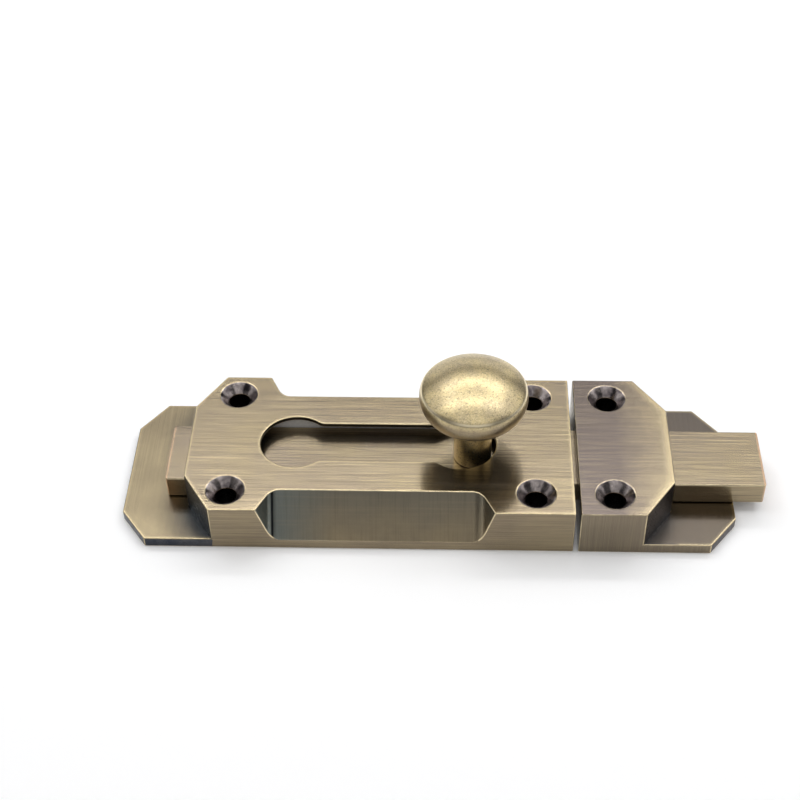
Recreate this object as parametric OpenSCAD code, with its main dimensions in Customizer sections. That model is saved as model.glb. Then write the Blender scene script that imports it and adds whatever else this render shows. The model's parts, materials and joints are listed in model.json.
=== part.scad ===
// Surface slide bolt: a flat bolt bar shoots from a fixed body into a keeper.
// X is the way the bolt shoots, Y runs across it, and Z points away from the door.
// The origin is on the back face of the body, at the middle of its left end.

/* [Body] */
// Length of the raised body
body_l = 77.4; // [72:0.1:95]
// Width of the body and of the keeper
body_w = 38; // [36:0.1:46]
// Height of the body and of the keeper above the door
body_h = 10.9; // [10.4:0.1:14]
// Thickness of the base plate under both castings
plate_t = 2.3; // [1.6:0.1:2.6]
// Length of the base plate that shows beyond the left end
tab_l = 13; // [9:0.1:20]
// Length of the corner cut on the body's left end, along the bolt
body_cut_x = 5.8; // [3:0.1:6.5]
// Width of the corner cut on the body's left end, across the bolt
body_cut_y = 9.3; // [5:0.1:9.5]
// Length of the corner cut on the body's tab, along the bolt
tab_cut_x = 5.3; // [3:0.1:8]
// Width of the corner cut on the body's tab, across the bolt
tab_cut_y = 7.2; // [4:0.1:12]

/* [Waist] */
// Depth of the waist on each side, at the top face
waist_d = 5.7; // [3:0.1:6.2]
// Length of the left lobe, from the left end to the waist
lobe_left_l = 15.1; // [14:0.1:20]
// Length of the right lobe, from the waist to the right end
lobe_right_l = 15.6; // [14:0.1:20]
// Radius of the cutter that leaves the waist's inner corners
waist_r = 3; // [1.5:0.1:3.4]
// Angle between the waist's slanting end and its straight wall
waist_end_angle = 60; // [45:1:65]

/* [Knob slot] */
// Distance from the left end to the centre of the slot's left hole
slot_x = 21.6; // [20:0.1:26]
// Distance between the centres of the slot's two end holes
slot_pitch = 33.5; // [24:0.1:50]
// Diameter of the round hole at each end of the slot
slot_hole_d = 14.2; // [12:0.1:14.8]
// Width of the slot between the two holes
slot_w = 10.4; // [9:0.1:11]
// Radius that eases each slot edge into the round holes
slot_ease_r = 2; // [0.5:0.1:3]

/* [Bolt bar] */
// Width of the bolt bar
bar_w = 15.2; // [12:0.1:16]
// Thickness of the bolt bar
bar_t = 5; // [4.2:0.1:5.2]
// Length that sticks out of the body's left end when the bolt is shot
bar_tail = 4.4; // [2:0.1:8]
// How far the bar's tip stands out of the body, short of the keeper, when the bolt is drawn back
tip_out = 0.4; // [0:0.1:0.5]
// Width of the eased edge all round the bar
bar_edge = 0.2; // [0.1:0.05:0.6]
// Radius of the bar's four upright corners
bar_corner_r = 0.8; // [0.6:0.1:2]
// Clearance between the bar and each side of its channel
side_gap = 0.25; // [0.15:0.05:0.5]
// Clearance between the bar and the channel's floor
floor_gap = 0.2; // [0.15:0.05:0.3]
// Clearance between the bar and the roof of the guides at its ends
roof_gap = 0.15; // [0.1:0.05:0.3]
// Length of the close guide at each end of the body
guide_l = 8; // [4:0.1:8]
// Thickness of the body's roof between the guides, around the knob's slot
roof_t = 1; // [0.8:0.1:1.6]

/* [Knob] */
// Diameter of the knob's head
knob_d = 21.5; // [18:0.1:24]
// Height from the door to the knob's top
knob_top = 29.8; // [27:0.1:36]
// Height of the domed top above the knob's rim
knob_dome_h = 3.8; // [3:0.1:6]
// Radius of the rounded side of the head, seen in section
knob_side_r = 4.6; // [3.5:0.1:5]
// Diameter of the knob's stem
stem_d = 7.7; // [6:0.1:8.2]
// Gap between the stem and the slot's end when the bolt is fully shot or drawn
stop_gap = 0.9; // [0.3:0.1:2]
// Diameter of the threaded stud that joins the knob to the bar
stud_d = 5; // [3:0.5:5]

/* [Friction spring] */
// Width of the spring strip
spring_w = 7; // [5:0.1:8]
// Thickness of the spring strip
spring_t = 0.4; // [0.3:0.05:0.5]
// Length of the spring
spring_l = 14.5; // [10:0.5:15]
// Depth of the pocket under the bar that holds the spring
spring_pocket_d = 1.6; // [1.3:0.1:1.8]

/* [Keeper] */
// Gap between the body and the keeper
keeper_gap = 1; // [0.6:0.1:3]
// Length of the raised keeper
keeper_l = 18.9; // [17:0.1:26]
// Length of the base plate that shows beyond the keeper
keeper_tab_l = 12.7; // [11:0.1:20]
// Length of the corner cut on the keeper's right end, along the bolt
keeper_cut_x = 6.2; // [3:0.1:7]
// Width of the corner cut on the keeper's right end, across the bolt
keeper_cut_y = 8.9; // [5:0.1:9.5]
// Length of the corner cut on the keeper's tab, along the bolt
keeper_tab_cut_x = 5.6; // [3:0.1:8]
// Width of the corner cut on the keeper's tab, across the bolt
keeper_tab_cut_y = 7.1; // [4:0.1:12]

/* [Screw holes] */
// Diameter of the hole for the screw's shank
screw_hole_d = 4.2; // [3.5:0.1:4.5]
// Diameter of the countersink at the surface
sink_d = 7.8; // [7:0.1:8]
// Full angle of the countersink cone
sink_angle = 90; // [80:1:100]
// Distance between the holes across the bolt
hole_pitch_y = 27.1; // [25:0.1:34]
// Distance from the body's left end to its left pair of holes
hole_left_x = 8.7; // [8:0.1:12]
// Distance from the body's right end to its right pair of holes
hole_right_x = 7.5; // [6:0.1:12]
// Distance from the keeper's left end to its pair of holes
keeper_hole_x = 6.9; // [6:0.1:9]
// Diameter of the countersink in the keeper's thin tab
tab_sink_d = 7.2; // [6.5:0.1:8]

/* [Hidden] */
$fn = 96;

// Cutters run this far past the faces that they open, and bite this far into a space already cut
past = 1;
bite = 0.1;

// Across the bolt
half_w = body_w / 2;
channel_w = bar_w + 2 * side_gap;

// Heights above the door
bar_z = plate_t + floor_gap;
bar_top = bar_z + bar_t;
channel_h = floor_gap + bar_t + roof_gap;
guide_top = plate_t + channel_h;

// The stem's centre with the bolt shot and drawn back, each just beyond a hole's centre
slot_end_x = slot_x + slot_pitch;
stem_reach = (slot_hole_d - stem_d) / 2 - stop_gap;
stem_shot_x = slot_end_x + stem_reach;
stem_drawn_x = slot_x - stem_reach;
travel = stem_shot_x - stem_drawn_x;

// The bar with the bolt shot
bar_end = body_l + tip_out + travel;
bar_l = bar_tail + bar_end;

// The keeper starts one gap past the body, and its tab's hole is in the middle of the tab
keeper_x = body_l + keeper_gap;
tab_hole_x = keeper_l + keeper_tab_l / 2;

// The waist's cutter runs outward and down, from the top face to the base plate's edge
waist_drop = body_h - plate_t;
waist_slant = atan2(waist_d, waist_drop);
waist_depth = waist_d * cos(waist_slant);

// The knob's head: a shallow dome, a rim just inside the widest circle, and a rounded side
knob_r = knob_d / 2;
rim_inset = 0.35;
foot_inset = 2;
side_x = knob_r - knob_side_r;
rim_r = knob_r - rim_inset;
rim_z = knob_top - knob_dome_h;
side_z = rim_z - sqrt(pow(knob_side_r, 2) - pow(knob_side_r - rim_inset, 2));
foot_z = side_z - sqrt(pow(knob_side_r, 2) - pow(knob_side_r - foot_inset, 2));
dome_r = (pow(rim_r, 2) + pow(knob_dome_h, 2)) / (2 * knob_dome_h);
neck_h = 1.2;

// The stud stops short of the bar's underside and of the end of its hole in the stem
thread_gap = 0.03;
stud_short = 0.4;
stud_up = 6;
stud_slot_w = 0.8;
stud_slot_d = 1.2;

// The spring: a shallow arc, its ends against the pocket's roof and its crown on the floor
spring_room = 0.4;
spring_touch = 0.05;
pocket_web = 1.1;
pocket_l = spring_l + 2 * spring_room;
pocket_x = stem_shot_x - stud_d / 2 - pocket_web - pocket_l;
spring_x = pocket_x + pocket_l / 2;
spring_rise = spring_pocket_d + floor_gap - 2 * spring_touch - spring_t;
spring_r = (pow(spring_l / 2, 2) + pow(spring_rise, 2)) / (2 * spring_rise);

// Outline seen from above: square at x = 0, with cut corners at x = len
module cut_outline(len, cut_x, cut_y)
    polygon([
        [0, -half_w],
        [len - cut_x, -half_w],
        [len, cut_y - half_w],
        [len, half_w - cut_y],
        [len - cut_x, half_w],
        [0, half_w]
    ]);

// A block of the outline above, standing on the door
module cut_block(len, cut_x, cut_y, high)
    linear_extrude(height = high)
        cut_outline(len, cut_x, cut_y);

// A screw hole: a shank bore, and a cone that is widest at height top
module screw_hole(x, y, top, sink) {
    cone_h = (sink - screw_hole_d) / 2 / tan(sink_angle / 2);
    translate([x, y, -past])
        cylinder(d = screw_hole_d, h = top + 2 * past);
    translate([x, y, top - cone_h])
        cylinder(d1 = screw_hole_d, d2 = sink, h = cone_h);
    translate([x, y, top])
        cylinder(d = sink, h = past);
}

// A pair of screw holes, one on each side of the bolt
module screw_pair(x)
    for (side = [-1, 1])
        screw_hole(x, side * hole_pitch_y / 2, body_h, sink_d);

// The channel that the bar slides in
module channel(len)
    translate([-past, -channel_w / 2, plate_t])
        cube([len + 2 * past, channel_w, channel_h]);

// The taller space over the bar, from one guide of the body to the other
module roof_space()
    translate([guide_l, -channel_w / 2, guide_top - bite])
        cube([body_l - 2 * guide_l, channel_w, body_h - roof_t - guide_top + bite]);

// Section of the waist's cutter: the wall at y = waist_depth, and slanting ends with round corners
module waist_section() {
    left = lobe_left_l;
    right = body_l - lobe_right_l;
    corner_y = waist_depth - waist_r;
    corner_in = (waist_r + corner_y * cos(waist_end_angle)) / sin(waist_end_angle);
    touch_x = corner_in - waist_r * sin(waist_end_angle);
    touch_y = corner_y + waist_r * cos(waist_end_angle);
    mouth = past / tan(waist_end_angle);
    polygon([
        [left - mouth, -past],
        [right + mouth, -past],
        [right - touch_x, touch_y],
        [right - corner_in, waist_depth],
        [left + corner_in, waist_depth],
        [left + touch_x, touch_y]
    ]);
    for (x = [left + corner_in, right - corner_in])
        translate([x, corner_y])
            circle(r = waist_r);
}

// The waist's cutter on the front side, tilted about the block's top front edge
module waist_cutter()
    translate([0, -half_w, body_h])
        rotate([-waist_slant, 0, 0])
            translate([0, 0, -waist_drop - past])
                linear_extrude(height = waist_drop + waist_d + 2 * past)
                    waist_section();

// Rounds the corner where one edge of the slot meets the round hole at the origin
module slot_ease() {
    ease_x = sqrt(pow(slot_hole_d / 2 + slot_ease_r, 2) - pow(slot_w / 2 + slot_ease_r, 2));
    ease_y = slot_w / 2 + slot_ease_r;
    difference() {
        polygon([[0, 0], [ease_x, 0], [ease_x, ease_y]]);
        translate([ease_x, ease_y])
            circle(r = slot_ease_r);
    }
}

// One round end of the knob's slot, with the slot leaving it along +X
module slot_end() {
    circle(d = slot_hole_d);
    slot_ease();
    mirror([0, 1])
        slot_ease();
}

// The knob's slot through the body's roof
module knob_slot()
    translate([0, 0, body_h - roof_t - bite])
        linear_extrude(height = body_h) {
            translate([slot_x, 0])
                slot_end();
            translate([slot_end_x, 0])
                mirror([1, 0])
                    slot_end();
            translate([slot_x, -slot_w / 2])
                square([slot_pitch, slot_w]);
        }

// A bar-shaped block centred across Y, with its long edges cut at 45 degrees and its corners round
module eased_block(len, wide, high, edge, corner) {
    half = wide / 2;
    intersection() {
        translate([0, -half, 0])
            cube([len, wide, high]);
        rotate([90, 0, 0])
            translate([0, 0, -half])
                linear_extrude(height = wide)
                    eased_outline(len, high, edge);
        linear_extrude(height = high)
            translate([0, -half])
                round_outline(len, wide, corner);
        rotate([90, 0, 90])
            linear_extrude(height = len)
                translate([-half, 0])
                    eased_outline(wide, high, edge);
    }
}

// A rectangle with its four corners cut at 45 degrees
module eased_outline(len, wide, edge)
    polygon([
        [edge, 0],
        [len - edge, 0],
        [len, edge],
        [len, wide - edge],
        [len - edge, wide],
        [edge, wide],
        [0, wide - edge],
        [0, edge]
    ]);

// A rectangle with its four corners rounded
module round_outline(len, wide, corner) {
    translate([corner, 0])
        square([len - 2 * corner, wide]);
    translate([0, corner])
        square([len, wide - 2 * corner]);
    for (x = [corner, len - corner], y = [corner, wide - corner])
        translate([x, y])
            circle(r = corner);
}

// Body: one casting, with the base plate, the raised block and the channel through it
module body_casting()
    color("darkkhaki")
        difference() {
            translate([body_l, 0, 0])
                mirror([1, 0, 0]) {
                    cut_block(body_l, body_cut_x, body_cut_y, body_h);
                    cut_block(body_l + tab_l, tab_cut_x, tab_cut_y, plate_t);
                }
            channel(body_l);
            roof_space();
            knob_slot();
            waist_cutter();
            mirror([0, 1, 0])
                waist_cutter();
            screw_pair(hole_left_x);
            screw_pair(body_l - hole_right_x);
        }

// Keeper: the casting on the frame that the bolt shoots into
module keeper_casting()
    color("tan")
        translate([keeper_x, 0, 0])
            difference() {
                union() {
                    cut_block(keeper_l, keeper_cut_x, keeper_cut_y, body_h);
                    cut_block(keeper_l + keeper_tab_l, keeper_tab_cut_x, keeper_tab_cut_y, plate_t);
                }
                channel(keeper_l);
                screw_pair(keeper_hole_x);
                screw_hole(tab_hole_x, 0, plate_t, tab_sink_d);
            }

// Bolt: a flat bar, drilled through for the knob's stud, with a pocket below for the spring
module bolt_bar()
    color("peru")
        difference() {
            translate([-bar_tail, 0, bar_z])
                eased_block(bar_l, bar_w, bar_t, bar_edge, bar_corner_r);
            translate([stem_shot_x, 0, bar_z - past])
                cylinder(d = stud_d + 2 * thread_gap, h = bar_t + 2 * past);
            translate([pocket_x, -spring_w / 2 - spring_room, bar_z - past])
                cube([pocket_l, spring_w + 2 * spring_room, spring_pocket_d + past]);
        }

// Spring: a bowed strip that presses the bar up, so that the bolt stays where it is put
module friction_spring()
    color("goldenrod")
        intersection() {
            translate([spring_x, 0, plate_t + spring_touch + spring_r + spring_t])
                rotate([90, 0, 0])
                    difference() {
                        cylinder(r = spring_r + spring_t, h = spring_w, center = true);
                        cylinder(r = spring_r, h = spring_w + 2 * past, center = true);
                    }
            translate([spring_x - spring_l / 2, -spring_w, plate_t])
                cube([spring_l, 2 * spring_w, floor_gap + spring_pocket_d - spring_touch]);
        }

// Half section of the knob's head and stem, from its axis outward
module knob_section() {
    core = rim_z - neck_h;
    intersection() {
        translate([0, knob_top - dome_r])
            circle(r = dome_r);
        translate([0, core])
            square([rim_r, knob_top - core]);
    }
    intersection() {
        translate([side_x, side_z])
            circle(r = knob_side_r);
        translate([0, foot_z])
            square([knob_r, rim_z - foot_z]);
    }
    polygon([
        [0, bar_top],
        [stem_d / 2, bar_top],
        [stem_d / 2, foot_z - neck_h],
        [knob_r - foot_inset, foot_z],
        [side_x, rim_z],
        [0, rim_z]
    ]);
}

// Knob: one turned piece, with a threaded hole up its stem
module knob()
    color("khaki")
        translate([stem_shot_x, 0, 0])
            difference() {
                rotate_extrude()
                    knob_section();
                translate([0, 0, bar_top - past])
                    cylinder(d = stud_d + 2 * thread_gap, h = stud_up + stud_short + past);
            }

// Stud: a slotted grub screw that ties the knob's stem to the bar
module knob_stud()
    color("slategray")
        translate([stem_shot_x, 0, bar_z + stud_short])
            difference() {
                cylinder(d = stud_d, h = bar_t - stud_short + stud_up);
                translate([-stud_slot_w / 2, -stud_d, -past])
                    cube([stud_slot_w, 2 * stud_d, stud_slot_d + past]);
            }

body_casting();
keeper_casting();
bolt_bar();
friction_spring();
knob();
knob_stud();
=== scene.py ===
import json
from math import cos, pi, radians, sin

import bmesh
import bpy
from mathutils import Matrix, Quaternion, Vector


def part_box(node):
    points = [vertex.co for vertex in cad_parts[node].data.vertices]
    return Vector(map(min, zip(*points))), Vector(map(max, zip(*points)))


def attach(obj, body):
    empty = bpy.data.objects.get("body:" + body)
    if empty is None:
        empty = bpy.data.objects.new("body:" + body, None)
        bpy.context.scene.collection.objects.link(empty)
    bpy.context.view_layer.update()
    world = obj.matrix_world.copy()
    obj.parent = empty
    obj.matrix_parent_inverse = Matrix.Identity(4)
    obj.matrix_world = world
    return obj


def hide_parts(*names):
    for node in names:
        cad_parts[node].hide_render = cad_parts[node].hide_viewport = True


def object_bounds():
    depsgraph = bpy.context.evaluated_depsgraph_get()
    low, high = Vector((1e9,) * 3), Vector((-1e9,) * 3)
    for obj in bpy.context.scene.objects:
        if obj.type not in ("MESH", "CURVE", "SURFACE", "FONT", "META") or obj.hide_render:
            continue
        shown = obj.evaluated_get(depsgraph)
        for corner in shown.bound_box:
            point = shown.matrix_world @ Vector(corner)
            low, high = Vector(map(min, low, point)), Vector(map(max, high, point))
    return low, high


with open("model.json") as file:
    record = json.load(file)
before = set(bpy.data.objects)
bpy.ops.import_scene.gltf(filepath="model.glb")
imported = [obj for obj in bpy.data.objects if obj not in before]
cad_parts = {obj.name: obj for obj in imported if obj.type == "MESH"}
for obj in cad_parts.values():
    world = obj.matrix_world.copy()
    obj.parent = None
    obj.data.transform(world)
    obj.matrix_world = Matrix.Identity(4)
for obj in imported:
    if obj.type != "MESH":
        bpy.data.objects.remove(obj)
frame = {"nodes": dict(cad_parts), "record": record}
cad_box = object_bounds()

# ---------------------------------------------------------------- Body casting
# The body is one brass casting: a base plate with a raised, waisted block on it.
# It was cast, ground flat, darkened all over and then brushed on a belt, so the high faces
# and edges are rubbed back to brass, and the corners, holes and channel stay dark. The bores,
# the bottoms of the countersinks and the channel's inside are also painted near black, as
# painted shade.

mm = 0.001
near = 0.05 * mm
body_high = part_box("body_casting")[1]
bar_low, bar_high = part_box("bolt_bar")
mounts = {m["name"]: m for m in frame["record"]["mounts"]}

# The bar lies just above the plate, and the channel's sides stand just outside the bar.
plate_top = bar_low.z - 0.2 * mm
channel_half = bar_high.y + 0.25 * mm
# The slot is nowhere wider than this, so an inward face further out is the channel's side.
slot_half = 7.5 * mm
# The block's two cut corners end here.
body_cut_end = 5.8 * mm
# A dark crease crosses the waist's walls here, near their left end.
crease_x = 18.0 * mm
sink_r, bore_r = 3.9 * mm, 2.1 * mm
casting_ease = 0.25 * mm

along_x, along_y, along_z = (1, 0, 0), (0, 1, 0), (0, 0, 1)
brass = (0.60, 0.485, 0.285)
rubbed_brass = (0.86, 0.72, 0.45)
brown_skin = (0.16, 0.125, 0.095)
plum_skin = (0.235, 0.195, 0.185)
blue_skin = (0.060, 0.066, 0.072)
gold = (0.80, 0.66, 0.40)
copper = (0.80, 0.52, 0.34)
# A ramp along X that is already full where the piece starts.
everywhere = (-2, -1)


def hole_axes(*names):
    """Where the screw holes of these mounts stand, as (x, y)."""
    found = []
    for name in names:
        m = mounts[name]
        x, y, _ = m["pos_m"]
        half_x = m["dims"].get("spacing_x_mm", 0) * mm / 2
        half_y = m["dims"].get("spacing_y_mm", 0) * mm / 2
        found += [(x + sx * half_x, y + sy * half_y)
                  for sx in ((-1, 1) if half_x else (0,))
                  for sy in ((-1, 1) if half_y else (0,))]
    return found


def in_hole(point, axes, radius):
    return any((point.x - x) ** 2 + (point.y - y) ** 2 < (radius + near) ** 2 for x, y in axes)


def merged_copy(node):
    """A copy of a CAD node's mesh, with its loose triangles welded into flat faces."""
    bm = bmesh.new()
    bm.from_mesh(frame["nodes"][node].data)
    bmesh.ops.remove_doubles(bm, verts=bm.verts, dist=0.001 * mm)
    bmesh.ops.dissolve_limit(bm, angle_limit=radians(0.5), verts=bm.verts,
                             edges=bm.edges, delimit={"MATERIAL"})
    return bm


def split_at(bm, *places):
    """Splits the flat faces that run across these places along X."""
    for x in places:
        bmesh.ops.bisect_plane(bm, geom=bm.verts[:] + bm.edges[:] + bm.faces[:], dist=0.001 * mm,
                               plane_co=(x, 0, 0), plane_no=(1, 0, 0))


def ease_edges(bm, width, sharper_than=radians(24)):
    """Rounds every outer edge. The attribute "rubbed" is 1 along the middle of the rounding."""
    rubbed = bm.verts.layers.float.new("rubbed")
    edges = [e for e in bm.edges if e.is_convex and e.calc_face_angle(0) > sharper_than]
    made = bmesh.ops.bevel(bm, geom=edges, offset=width, offset_type="OFFSET", affect="EDGES",
                           segments=2, profile=0.5, material=-1, clamp_overlap=False,
                           loop_slide=True)
    rounding = set(made["faces"])
    for v in made["verts"]:
        if all(f in rounding for f in v.link_faces):
            v[rubbed] = 1.0


def wear_less(bm, share, where):
    """Takes some of the rubbing off the edges that the brush hardly reaches."""
    rubbed = bm.verts.layers.float["rubbed"]
    for v in bm.verts:
        if where(v.co):
            v[rubbed] *= share


def finish_piece(bm, name, body, nodes, materials):
    """Turns a finished bmesh into a smooth piece that rides on a body and stands for CAD nodes."""
    mesh = bpy.data.meshes.new(name)
    for f in bm.faces:
        f.smooth = True
    for e in bm.edges:
        e.smooth = e.is_convex or e.calc_face_angle(0) < radians(20)
    bm.to_mesh(mesh)
    bm.free()
    for m in materials:
        mesh.materials.append(m)
    piece = bpy.data.objects.new(name, mesh)
    bpy.context.scene.collection.objects.link(piece)
    weighted = piece.modifiers.new("flat faces", "WEIGHTED_NORMAL")
    weighted.keep_sharp = True
    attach(piece, body)
    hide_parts(*nodes)
    return piece


class Finish:
    """A metal material under construction, and the few steps that all the finishes share."""

    def __init__(self, name, roughness, anisotropic=0.0):
        self.material = bpy.data.materials.new(name)
        self.material.use_nodes = True
        self.tree = self.material.node_tree
        self.shader = self.tree.nodes["Principled BSDF"]
        self.shader.inputs["Metallic"].default_value = 1.0
        self.shader.inputs["Roughness"].default_value = roughness
        self.shader.inputs["Anisotropic"].default_value = anisotropic
        self.place = self.tree.nodes.new("ShaderNodeTexCoord").outputs["Object"]

    def node(self, kind, **values):
        made = self.tree.nodes.new("ShaderNode" + kind)
        for key, value in values.items():
            setattr(made, key, value)
        return made

    def link(self, out, into):
        self.tree.links.new(out, into)

    def noise(self, scale, detail, seed, roughness=0.6):
        """Noise with its own scale per metre along X, Y and Z."""
        stretch = self.node("Mapping")
        stretch.inputs["Scale"].default_value = scale
        stretch.inputs["Location"].default_value = (seed, seed * 0.7, seed * 1.3)
        self.link(self.place, stretch.inputs["Vector"])
        made = self.node("TexNoise")
        made.inputs["Scale"].default_value = 1.0
        made.inputs["Detail"].default_value = detail
        made.inputs["Roughness"].default_value = roughness
        self.link(stretch.outputs["Vector"], made.inputs["Vector"])
        return made.outputs["Fac"]

    def ramp(self, value, low, high, start=0.0, end=1.0):
        """Maps low..high to start..end, held at both ends."""
        made = self.node("MapRange")
        for key, number in (("From Min", low), ("From Max", high), ("To Min", start), ("To Max", end)):
            made.inputs[key].default_value = number
        self.link(value, made.inputs["Value"])
        return made.outputs["Result"]

    def times(self, a, b):
        made = self.node("Math", operation="MULTIPLY")
        self.link(a, made.inputs[0])
        self.link(b, made.inputs[1])
        return made.outputs[0]

    def blend(self, factor, under, over):
        """Lays the colour over on the colour under, by a factor from a node."""
        made = self.node("Mix", data_type="RGBA")
        self.link(factor, made.inputs[0])
        for value, socket in ((under, made.inputs[6]), (over, made.inputs[7])):
            if isinstance(value, tuple):
                socket.default_value = (*value, 1.0)
            else:
                self.link(value, socket)
        return made.outputs[2]

    def bump(self, height, depth, strength, normal=None):
        made = self.node("Bump")
        made.inputs["Strength"].default_value = strength
        made.inputs["Distance"].default_value = depth
        self.link(height, made.inputs["Height"])
        if normal:
            self.link(normal, made.inputs["Normal"])
        return made.outputs["Normal"]

    def corners(self, reach, full, none):
        """1 deep in the piece's own inner corners, 0 in the open."""
        made = self.node("AmbientOcclusion", samples=8, only_local=True)
        made.inputs["Distance"].default_value = reach
        return self.ramp(made.outputs["AO"], full, none, 1.0, 0.0)

    def rim(self, reach, full, none):
        """1 at the piece's own outer edges, fading to 0 a little way in."""
        made = self.node("AmbientOcclusion", samples=8, only_local=True, inside=True)
        made.inputs["Distance"].default_value = reach
        return self.ramp(made.outputs["AO"], full, none, 1.0, 0.0)

    def marked(self, name, low=0.1, high=0.9, most=1.0):
        """Reads one of the attributes that the mesh code set, such as "rubbed"."""
        made = self.node("Attribute", attribute_name=name)
        return self.ramp(made.outputs["Fac"], low, high, 0.0, most)

    def worn_edges(self):
        """The rounded edges, rubbed bright in some places more than in others."""
        patches = self.ramp(self.noise((300, 300, 300), 3.0, 77.0), 0.35, 0.60, 0.35, 0.90)
        return self.times(self.marked("rubbed"), patches)

    def along(self, axis, low, high, start=0.0, end=1.0):
        """A ramp between two places along X, Y or Z."""
        made = self.node("SeparateXYZ")
        self.link(self.place, made.inputs[0])
        return self.ramp(made.outputs[axis], low, high, start, end)

    def spread_across(self, brush):
        """Highlights spread across the brush lines, so the tangent is the normal cross the brush."""
        normal = self.node("NewGeometry").outputs["Normal"]
        made = self.node("VectorMath", operation="CROSS_PRODUCT")
        self.link(normal, made.inputs[0])
        made.inputs[1].default_value = brush
        self.link(made.outputs["Vector"], self.shader.inputs["Tangent"])


def brushed_brass(name, brush, seed, metal=brass, skin=brown_skin, clouds=(0.0, 0.4),
                  streaks=0.50, glints=0.34, spread=0.8, dirt=(4.5 * mm, 0.35, 0.92),
                  rim=None, ends=None, shade=None):
    """Darkened brass, brushed along one axis.

    clouds is the least and the most of the dark skin that is left. streaks and glints are the
    strength of the dark and the bright brush lines. dirt is how far the stain reaches out of
    the inner corners. rim wears the outer edges, ends wears the bar's two ends to copper, and
    shade lays more of the skin over one end of the piece.
    """
    roughness = 0.215
    f = Finish(name, roughness, anisotropic=spread)
    run, across = 30, 3700
    lines = (run, across, across) if brush == along_x else (across, run, run)
    coarse = f.noise(lines, 2.0, seed, 0.5)
    fine = f.noise(tuple(2.3 * s for s in lines), 1.5, seed + 3.1, 0.5)
    cloud = f.noise((60, 60, 60), 4.0, seed + 7.7)

    colour = f.blend(f.ramp(cloud, 0.36, 0.66, *clouds), metal, skin)
    if shade:
        colour = f.blend(f.along(*shade), colour, skin)
    colour = f.blend(f.ramp(coarse, 0.44, 0.66, 0.0, streaks), colour, brown_skin)
    colour = f.blend(f.ramp(fine, 0.46, 0.72, 0.0, glints), colour, rubbed_brass)
    colour = f.blend(f.corners(*dirt), colour, blue_skin)
    if rim:
        reach, low, high = rim
        worn = f.times(f.rim(reach, 0.62, 0.98), f.along("X", low, high, 0.0, 0.5))
        colour = f.blend(worn, colour, gold)
    if ends:
        for place, far in zip(ends, (-1, 1)):
            worn = f.along("X", place - far * 0.55 * mm, place - far * 0.15 * mm, 0.0, 0.75)
            colour = f.blend(worn, colour, copper)
    colour = f.blend(f.worn_edges(), colour, rubbed_brass)
    f.link(colour, f.shader.inputs["Base Color"])
    f.link(f.ramp(coarse, 0.3, 0.7, roughness - 0.03, roughness + 0.05), f.shader.inputs["Roughness"])
    grooves = f.bump(coarse, 0.0012 * mm, 0.5)
    f.link(f.bump(fine, 0.0006 * mm, 0.5, grooves), f.shader.inputs["Normal"])
    f.spread_across(brush)
    return f.material


def stained_waist():
    """The waist's slanting wall: blue-grey stain at its left, olive at its right, faint steep lines."""
    f = Finish("stained waist", 0.36, anisotropic=0.5)
    cloud = f.noise((110, 160, 160), 4.0, 6.0)
    steep = f.noise((2600, 90, 90), 3.0, 6.5, 0.5)
    long = f.noise((40, 1800, 1800), 2.0, 6.9, 0.5)
    stain = f.along("X", 19 * mm, 30 * mm, 0.95, 0.0)
    colour = f.blend(f.ramp(cloud, 0.36, 0.66, 0.0, 0.7), (0.38, 0.305, 0.195), (0.25, 0.21, 0.15))
    # The wall is made darker towards its top.
    colour = f.blend(f.along("Z", plate_top + 1 * mm, body_high.z), colour, (0.22, 0.20, 0.155))
    colour = f.blend(stain, colour, (0.215, 0.235, 0.215))
    colour = f.blend(f.ramp(steep, 0.48, 0.74, 0.0, 0.22), colour, (0.085, 0.07, 0.05))
    colour = f.blend(f.ramp(long, 0.50, 0.72, 0.0, 0.10), colour, (0.52, 0.42, 0.26))
    colour = f.blend(f.corners(2.5 * mm, 0.45, 0.9), colour, (0.05, 0.055, 0.06))
    crease = f.times(f.along("X", crease_x - 0.35 * mm, crease_x - 0.1 * mm),
                     f.along("X", crease_x + 0.35 * mm, crease_x + 0.1 * mm))
    colour = f.blend(crease, colour, (0.012, 0.014, 0.016))
    colour = f.blend(f.worn_edges(), colour, rubbed_brass)
    f.link(colour, f.shader.inputs["Base Color"])
    f.link(f.ramp(cloud, 0.3, 0.7, 0.30, 0.42), f.shader.inputs["Roughness"])
    f.link(f.bump(steep, 0.0012 * mm, 0.5), f.shader.inputs["Normal"])
    f.spread_across(along_x)
    return f.material


def dark_skin_and_shade(name, seed, deep=blue_skin, worn=(0.16, 0.14, 0.125), roughness=0.30):
    """A face that the brush hardly touched: the darkened skin, worn a little in the open. Under the
    knob and in the bores and channel it is made darker still, as painted shade.
    """
    f = Finish(name, roughness)
    cloud = f.noise((160, 160, 160), 4.0, seed)
    speck = f.noise((1400, 1400, 1400), 2.0, seed + 2.0)
    colour = f.blend(f.ramp(cloud, 0.35, 0.68), deep, worn)
    colour = f.blend(f.corners(5 * mm, 0.4, 0.95), colour, deep)
    colour = f.blend(f.marked("rubbed"), colour, brass)
    f.link(colour, f.shader.inputs["Base Color"])
    f.link(f.ramp(speck, 0.3, 0.7, roughness - 0.06, roughness + 0.10), f.shader.inputs["Roughness"])
    f.link(f.bump(speck, 0.006 * mm, 0.5), f.shader.inputs["Normal"])
    return f.material


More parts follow.
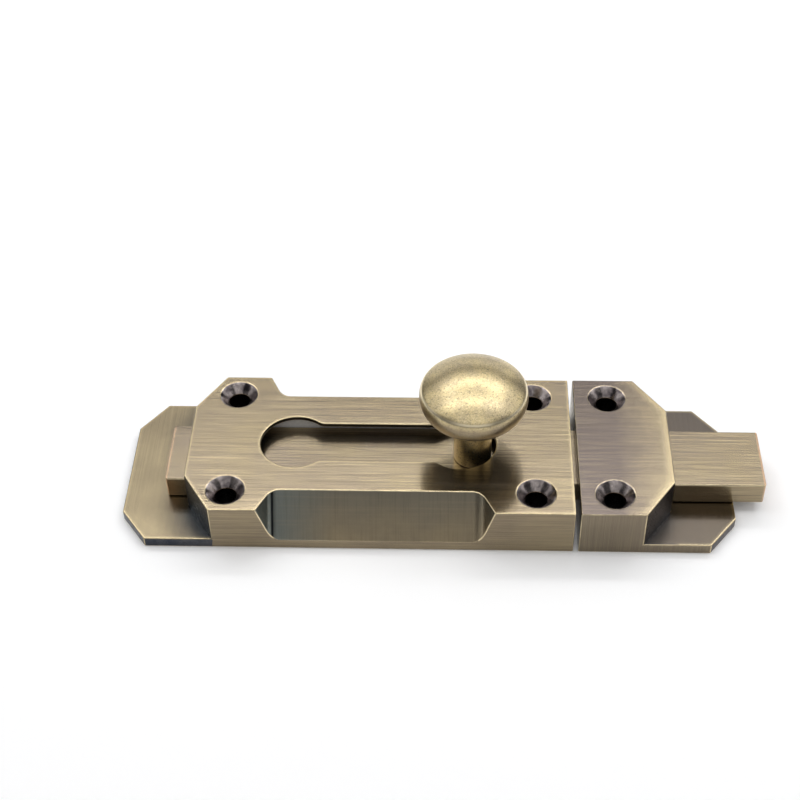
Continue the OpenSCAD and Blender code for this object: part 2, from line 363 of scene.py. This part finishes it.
def drilled_sink():
    """A countersink: dark and glossy, with turning marks that throw the light up and down the cone."""
    f = Finish("drilled sink", 0.20, anisotropic=0.75)
    cloud = f.noise((420, 420, 420), 3.0, 5.0)
    turning = f.noise((60, 60, 4200), 3.0, 6.0)
    colour = f.blend(f.ramp(cloud, 0.38, 0.62), (0.13, 0.11, 0.115), (0.42, 0.37, 0.355))
    # The cone's bottom, next to the bore, is painted near black: painted shade.
    colour = f.blend(f.corners(2.5 * mm, 0.15, 0.6), colour, (0.012, 0.011, 0.012))
    colour = f.blend(f.marked("rubbed", most=0.7), colour, brass)
    f.link(colour, f.shader.inputs["Base Color"])
    f.link(f.bump(turning, 0.002 * mm, 0.4), f.shader.inputs["Normal"])
    f.link(f.ramp(cloud, 0.3, 0.7, 0.16, 0.28), f.shader.inputs["Roughness"])
    up = f.node("CombineXYZ")
    up.inputs["Z"].default_value = 1.0
    f.link(up.outputs["Vector"], f.shader.inputs["Tangent"])
    return f.material


def bare_casting():
    """The casting's own pale grey skin, where neither the stain nor the brush reached."""
    f = Finish("bare casting", 0.5)
    f.shader.inputs["Metallic"].default_value = 0.0
    grit = f.noise((1800, 1800, 1800), 3.0, 8.0)
    f.link(f.blend(f.ramp(grit, 0.35, 0.7), (0.80, 0.79, 0.79), (0.95, 0.935, 0.93)),
           f.shader.inputs["Base Color"])
    f.link(f.ramp(grit, 0.3, 0.7, 0.42, 0.58), f.shader.inputs["Roughness"])
    f.link(f.bump(grit, 0.01 * mm, 0.6), f.shader.inputs["Normal"])
    return f.material


TOP, SIDE, TAB, CUT, SINK, HOLLOW, WAIST, WALL = range(8)


def casting_face(f, high, axes, block):
    """Which finish a casting's flat face has. block is where the raised part starts and ends in X."""
    c, n = f.calc_center_median(), f.normal
    if in_hole(c, axes, sink_r) and n.z < 0.95:
        return HOLLOW if in_hole(c, axes, bore_r) and abs(n.z) < 0.1 else SINK
    if c.z < near:
        return CUT
    if n.z > 0.99 and c.z > high.z - near:
        return TOP
    if abs(c.y) < channel_half + near and block[0] + near < c.x < block[1] - near:
        return HOLLOW
    if n.z > 0.9:
        return TAB
    if abs(n.x) > 0.3 and abs(n.y) > 0.3 and abs(n.z) < 0.1:
        return CUT
    if abs(n.y) > 0.98 or abs(n.x) > 0.98:
        return SIDE
    return WAIST


body_holes = hole_axes("body_screws")
bm = merged_copy("body_casting")
split_at(bm, 0.0, body_cut_end)
for f in bm.faces:
    centre = f.calc_center_median()
    f.material_index = casting_face(f, body_high, body_holes, (0.0, body_high.x))
    if f.material_index == HOLLOW and f.normal.y < -0.9 and slot_half < centre.y < channel_half + near:
        f.material_index = WALL
    if f.material_index == CUT and body_cut_end < centre.x and abs(f.normal.z) < 0.9:
        f.material_index = WAIST
    if f.material_index == SIDE and centre.x < body_cut_end and centre.z < plate_top:
        f.material_index = CUT
ease_edges(bm, casting_ease)
wear_less(bm, 0.2, lambda p: body_cut_end < p.x and abs(p.z - plate_top) < 0.5 * mm)
wear_less(bm, 0.5, lambda p: in_hole(p, body_holes, sink_r + 0.3 * mm))
finish_piece(bm, "cast_body", "body", ["body_casting"], [
    brushed_brass("brushed body top", along_x, 1.0, metal=(0.370, 0.300, 0.193), skin=plum_skin,
                  rim=(0.8 * mm, *everywhere)),
    brushed_brass("brushed body side", along_x, 2.0, metal=(0.285, 0.230, 0.145), clouds=(0.0, 0.6),
                  glints=0.12),
    brushed_brass("brushed body tab", along_y, 3.0, metal=(0.45, 0.37, 0.235), streaks=0.14,
                  glints=0.08, dirt=(9 * mm, 0.60, 0.99), rim=(0.8 * mm, *everywhere)),
    dark_skin_and_shade("unbrushed cut", 4.0, deep=(0.028, 0.035, 0.050), worn=(0.10, 0.10, 0.105)),
    drilled_sink(),
    # The bores and the channel's inside: dark skin, painted near black as painted shade.
    dark_skin_and_shade("hollow skin and painted shade", 5.0, deep=(0.02, 0.018, 0.018), worn=(0.06, 0.05, 0.045)),
    stained_waist(),
    bare_casting(),
])

# ---------------------------------------------------------------- Keeper casting
# The keeper is the second casting, screwed to the frame. It was made and finished as the
# body was, but more of the stain was left on its top, and its front was brushed up and down.

keeper_low, keeper_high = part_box("keeper_casting")
keeper_block_end = keeper_low.x + 18.9 * mm
keeper_holes = hole_axes("keeper_screws", "keeper_tab_screw")
bm = merged_copy("keeper_casting")
split_at(bm, keeper_block_end)
for f in bm.faces:
    f.material_index = casting_face(f, keeper_high, keeper_holes, (keeper_low.x, keeper_block_end))
ease_edges(bm, casting_ease)
wear_less(bm, 0.5, lambda p: in_hole(p, keeper_holes, sink_r + 0.3 * mm))
finish_piece(bm, "cast_keeper", "keeper", ["keeper_casting"], [
    brushed_brass("brushed keeper top", along_x, 11.0, metal=(0.46, 0.375, 0.24),
                  skin=(0.175, 0.145, 0.137), streaks=0.22, glints=0.18,
                  rim=(2.2 * mm, keeper_low.x + 8 * mm, keeper_block_end - 3 * mm),
                  shade=("X", keeper_low.x + 8 * mm, keeper_block_end - 1 * mm, 0.95, 0.1)),
    brushed_brass("brushed keeper side", along_z, 12.0, metal=(0.20, 0.166, 0.118), clouds=(0.0, 0.5),
                  streaks=0.22, glints=0.08),
    brushed_brass("brushed keeper tab", along_y, 13.0, metal=(0.200, 0.168, 0.134),
                  skin=(0.155, 0.136, 0.130), clouds=(0.0, 0.6), streaks=0.10, glints=0.02,
                  spread=0.85,
                  rim=(0.8 * mm, keeper_block_end, keeper_block_end + 1 * mm)),
    dark_skin_and_shade("unbrushed keeper cut", 14.0, deep=(0.040, 0.036, 0.042), worn=(0.11, 0.095, 0.09)),
    bpy.data.materials["drilled sink"],
    bpy.data.materials["hollow skin and painted shade"],
    bpy.data.materials["brushed body side"],
])

# ---------------------------------------------------------------- Bolt bar
# The bolt is a flat bar, drawn and cut to length, and brushed along its length.
# Its stain has worn through along its edges and ends, to a warmer, copper-coloured metal.

bar_ends = (bar_low.x, bar_high.x)
bm = merged_copy("bolt_bar")
for f in bm.faces:
    upright = abs(f.normal.z)
    f.material_index = 0 if upright > 0.9 else 2 if upright > 0.1 else 1
ease_edges(bm, 0.06 * mm, radians(20))
finish_piece(bm, "flat_bar", "bolt", ["bolt_bar"], [
    # The top is made a little darker on the tail, left of x = 0.
    brushed_brass("brushed bar top", along_x, 21.0, metal=(0.330, 0.268, 0.172), skin=plum_skin,
                  clouds=(0.0, 0.5), ends=bar_ends, shade=("X", 0.0, -1 * mm, 0.0, 0.2)),
    brushed_brass("brushed bar side", along_x, 22.0, metal=(0.27, 0.22, 0.14),
                  skin=(0.42, 0.28, 0.165), ends=bar_ends, shade=("X", -1 * mm, -3 * mm, 0.0, 0.9)),
    brushed_brass("worn bar edge", along_x, 23.0, metal=(0.80, 0.68, 0.45), clouds=(0.0, 0.7),
                  ends=bar_ends),
])

# ---------------------------------------------------------------- Knob
# The knob is turned in one piece: a shallow domed head with a rounded side, on a plain
# stem. It was darkened and tumbled, so it is satin, with a mottled skin and no brush lines.

knob_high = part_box("knob")[1]
crease_z = knob_high.z - 3.8 * mm
# The head's rounded side runs from the crease down to about here.
side_low = crease_z - 4 * mm


def tumbled_brass():
    """Satin brass with fine dark specks, worn bright on the crease between dome and side."""
    f = Finish("tumbled brass", 0.36)
    cloud = f.noise((260, 260, 260), 4.0, 31.0)
    speck = f.noise((2600, 2600, 2600), 3.0, 32.0, 0.7)
    grit = f.noise((5200, 5200, 5200), 2.0, 33.0)
    colour = f.blend(f.ramp(cloud, 0.40, 0.66, 0.0, 0.40), (0.66, 0.535, 0.29), plum_skin)
    colour = f.blend(f.ramp(speck, 0.52, 0.68, 0.0, 0.80), colour, brown_skin)
    colour = f.blend(f.ramp(grit, 0.48, 0.70, 0.0, 0.55), colour, (0.95, 0.82, 0.52))
    colour = f.blend(f.corners(3 * mm, 0.3, 0.8), colour, (0.08, 0.068, 0.045))
    # The head's rounded side below the crease is painted darker brown: partly patina, partly painted
    # shade under the head.
    side = f.times(f.along("Z", crease_z - 1.5 * mm, crease_z - 0.2 * mm, 0.7, 0.0),
                   f.along("Z", side_low - 2 * mm, side_low))
    colour = f.blend(side, colour, brown_skin)
    colour = f.blend(f.marked("rubbed", 0.0, 0.6), colour, (1.0, 0.87, 0.60))
    f.link(colour, f.shader.inputs["Base Color"])
    f.link(f.ramp(speck, 0.3, 0.7, 0.27, 0.41), f.shader.inputs["Roughness"])
    f.link(f.bump(speck, 0.010 * mm, 0.6), f.shader.inputs["Normal"])
    return f.material


bm = merged_copy("knob")
# Faces turned downwards take a near-black finish: painted shade under the head.
for f in bm.faces:
    f.material_index = 1 if f.normal.z < -0.70 else 0
ease_edges(bm, 0.35 * mm, radians(16))
finish_piece(bm, "turned_knob", "bolt", ["knob"], [
    tumbled_brass(),
    dark_skin_and_shade("knob underside painted shade", 34.0, deep=(0.030, 0.026, 0.020), worn=(0.08, 0.066, 0.045)),
])

# ---------------------------------------------------------------- Knob stud
# A steel stud, threaded into the knob and through the bar, joins the two. It was blacked
# against rust. Its screwdriver slot shows only when the bar is out of its channel.


def blacked_steel():
    """Dark grey steel with a fine grain, a little brighter where the driver rubs it."""
    f = Finish("blacked steel", 0.38)
    grain = f.noise((900, 900, 3600), 3.0, 41.0)
    colour = f.blend(f.ramp(grain, 0.35, 0.68), (0.055, 0.056, 0.060), (0.16, 0.16, 0.165))
    colour = f.blend(f.marked("rubbed"), colour, (0.55, 0.55, 0.56))
    f.link(colour, f.shader.inputs["Base Color"])
    f.link(f.ramp(grain, 0.3, 0.7, 0.30, 0.48), f.shader.inputs["Roughness"])
    f.link(f.bump(grain, 0.006 * mm, 0.5), f.shader.inputs["Normal"])
    return f.material


bm = merged_copy("knob_stud")
ease_edges(bm, 0.08 * mm)
finish_piece(bm, "steel_stud", "bolt", ["knob_stud"], [blacked_steel()])

# ---------------------------------------------------------------- Friction spring
# A bowed strip of rolled bronze lies in a pocket under the bar and presses on the channel's
# floor. Its edges are clean metal, and the rest keeps its warm brown mill skin.


def rolled_bronze():
    """Warm strip metal with rolling lines along it, and clean metal at its edges."""
    f = Finish("rolled bronze", 0.30, anisotropic=0.5)
    rolled = f.noise((60, 2600, 600), 3.0, 51.0)
    patch = f.noise((350, 350, 350), 3.0, 52.0)
    colour = f.blend(f.ramp(patch, 0.35, 0.68), (0.62, 0.40, 0.22), (0.36, 0.22, 0.13))
    colour = f.blend(f.ramp(rolled, 0.45, 0.70, 0.0, 0.4), colour, (0.78, 0.56, 0.34))
    colour = f.blend(f.marked("rubbed"), colour, (0.86, 0.66, 0.42))
    f.link(colour, f.shader.inputs["Base Color"])
    f.link(f.ramp(rolled, 0.3, 0.7, 0.24, 0.40), f.shader.inputs["Roughness"])
    f.link(f.bump(rolled, 0.002 * mm, 0.5), f.shader.inputs["Normal"])
    f.spread_across(along_x)
    return f.material


bm = merged_copy("friction_spring")
ease_edges(bm, 0.06 * mm)
finish_piece(bm, "bowed_spring", "bolt", ["friction_spring"], [rolled_bronze()])

# ---------------------------------------------------------------- Floor, light and camera
# A white paper floor in a small light tent: a bright strip high behind the object and one
# straight overhead, with dimmer panels behind, in front and at both sides.

centre = (cad_box[0] + cad_box[1]) / 2

bm = bmesh.new()
bmesh.ops.create_grid(bm, x_segments=1, y_segments=1, size=3.0)
mesh = bpy.data.meshes.new("floor")
bm.to_mesh(mesh)
bm.free()
floor = bpy.data.objects.new("floor", mesh)
bpy.context.scene.collection.objects.link(floor)
paper = bpy.data.materials.new("white paper")
paper.use_nodes = True
paper.node_tree.nodes["Principled BSDF"].inputs["Base Color"].default_value = (0.98, 0.98, 0.985, 1)
paper.node_tree.nodes["Principled BSDF"].inputs["Roughness"].default_value = 0.9
paper.node_tree.nodes["Principled BSDF"].inputs["Emission Color"].default_value = (1, 1, 1, 1)
paper.node_tree.nodes["Principled BSDF"].inputs["Emission Strength"].default_value = 0.07
mesh.materials.append(paper)

world = bpy.data.worlds.new("soft room")
world.use_nodes = True
world.node_tree.nodes["Background"].inputs["Color"].default_value = (1.0, 1.0, 1.0, 1)
world.node_tree.nodes["Background"].inputs["Strength"].default_value = 0.06
bpy.context.scene.world = world


def panel(name, elevation, distance, size, brightness, azimuth=0):
    """A flat light that faces the object. azimuth is measured from straight behind it."""
    lamp = bpy.data.lights.new(name, "AREA")
    lamp.shape = "RECTANGLE"
    lamp.size, lamp.size_y = size
    lamp.energy = brightness * pi * size[0] * size[1]
    a, e = radians(azimuth), radians(elevation)
    away = Vector((sin(a) * cos(e), cos(a) * cos(e), sin(e)))
    o = bpy.data.objects.new(name, lamp)
    o.location = centre + away * distance
    o.rotation_mode = "QUATERNION"
    o.rotation_quaternion = (-away).to_track_quat("-Z", "Y")
    bpy.context.scene.collection.objects.link(o)


panel("key strip", 57, 0.60, (0.80, 0.06), 6.2)
panel("back panel", 46, 0.60, (0.80, 0.17), 0.95)
panel("back paper", 12, 0.90, (1.20, 0.26), 1.1)
panel("high panel", 72, 0.60, (0.90, 0.22), 0.70)
panel("overhead strip", 90, 0.55, (0.80, 0.12), 3.6)
panel("front panel", 32, 0.80, (0.90, 0.50), 0.50, 180)
panel("front high panel", 62, 0.70, (0.70, 0.24), 1.1, 180)
panel("left side", 42, 0.60, (0.50, 0.50), 0.8, -72)
panel("right side", 42, 0.60, (0.50, 0.50), 1.0, 72)

lens = bpy.data.cameras.new("camera")
lens.sensor_width = 36
lens.lens = 70.75
lens.clip_start, lens.clip_end = 0.01, 10
camera = bpy.data.objects.new("camera", lens)
# The camera looks past the object's middle, so the object lies low and to the right.
aim = Vector((centre.x - 9.6 * mm, 23.8 * mm, 0))
azimuth, elevation, roll, distance = radians(2.52), radians(43.77), -0.020, 342.8 * mm
back = Vector((sin(azimuth) * cos(elevation), -cos(azimuth) * cos(elevation), sin(elevation)))
camera.location = aim + back * distance
camera.rotation_mode = "QUATERNION"
camera.rotation_quaternion = (-back).to_track_quat("-Z", "Y") @ Quaternion((0, 0, 1), roll)
bpy.context.scene.collection.objects.link(camera)
bpy.context.scene.camera = camera
bpy.context.scene.view_settings.view_transform = "Standard"
